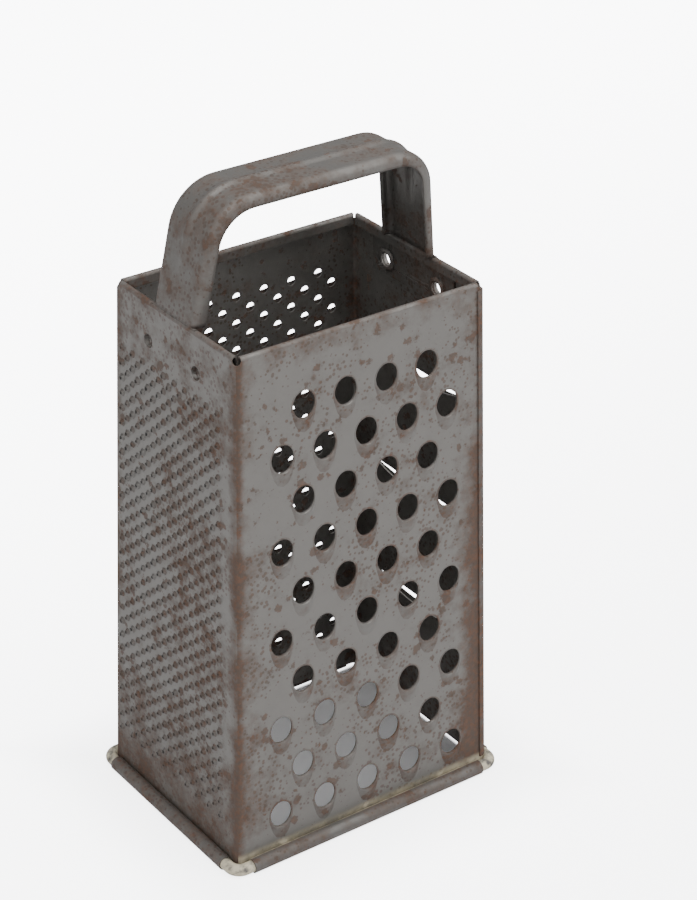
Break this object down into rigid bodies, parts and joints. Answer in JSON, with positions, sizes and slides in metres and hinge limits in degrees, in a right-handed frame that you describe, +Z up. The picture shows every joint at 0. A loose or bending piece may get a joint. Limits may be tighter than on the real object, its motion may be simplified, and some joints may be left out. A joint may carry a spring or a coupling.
{
  "type": "box grater",
  "caption": "Four-sided tinplate box grater with coarse, medium, fine and slicing sides, a wired rolled foot and a channel strap handle.",
  "frame": {"origin": "on the table, under the middle of the footprint", "axes": "+Z up, +X towards the slicing side, +Y towards the medium side; the coarse side faces -Y and the fine side -X"},
  "size_m": [0.1158, 0.0882, 0.2323],
  "materials": {
    "body_tin": "dull tinned steel with brown rust spots",
    "rim_tin": "worn tinned steel, browned by rust along its edges",
    "foot_tin": "worn tinned steel, browned by rust",
    "wire_zinc": "pale, chalky, oxidised coating on steel wire",
    "strap_tin": "dull tinned steel, finely speckled with rust"
  },
  "bodies": {
    "root": {"coarse_side": "body_tin", "medium_side": "body_tin", "fine_side": "body_tin", "slicing_side": "body_tin", "coarse_rim_hem": "rim_tin", "medium_rim_hem": "rim_tin", "fine_rim_hem": "rim_tin", "slicing_rim_hem": "rim_tin", "coarse_foot_roll": "foot_tin", "medium_foot_roll": "foot_tin", "fine_foot_roll": "foot_tin", "slicing_foot_roll": "foot_tin", "foot_wire": "wire_zinc", "corner_seam": "rim_tin", "handle_strap": "strap_tin"}
  },
  "joints": []
}
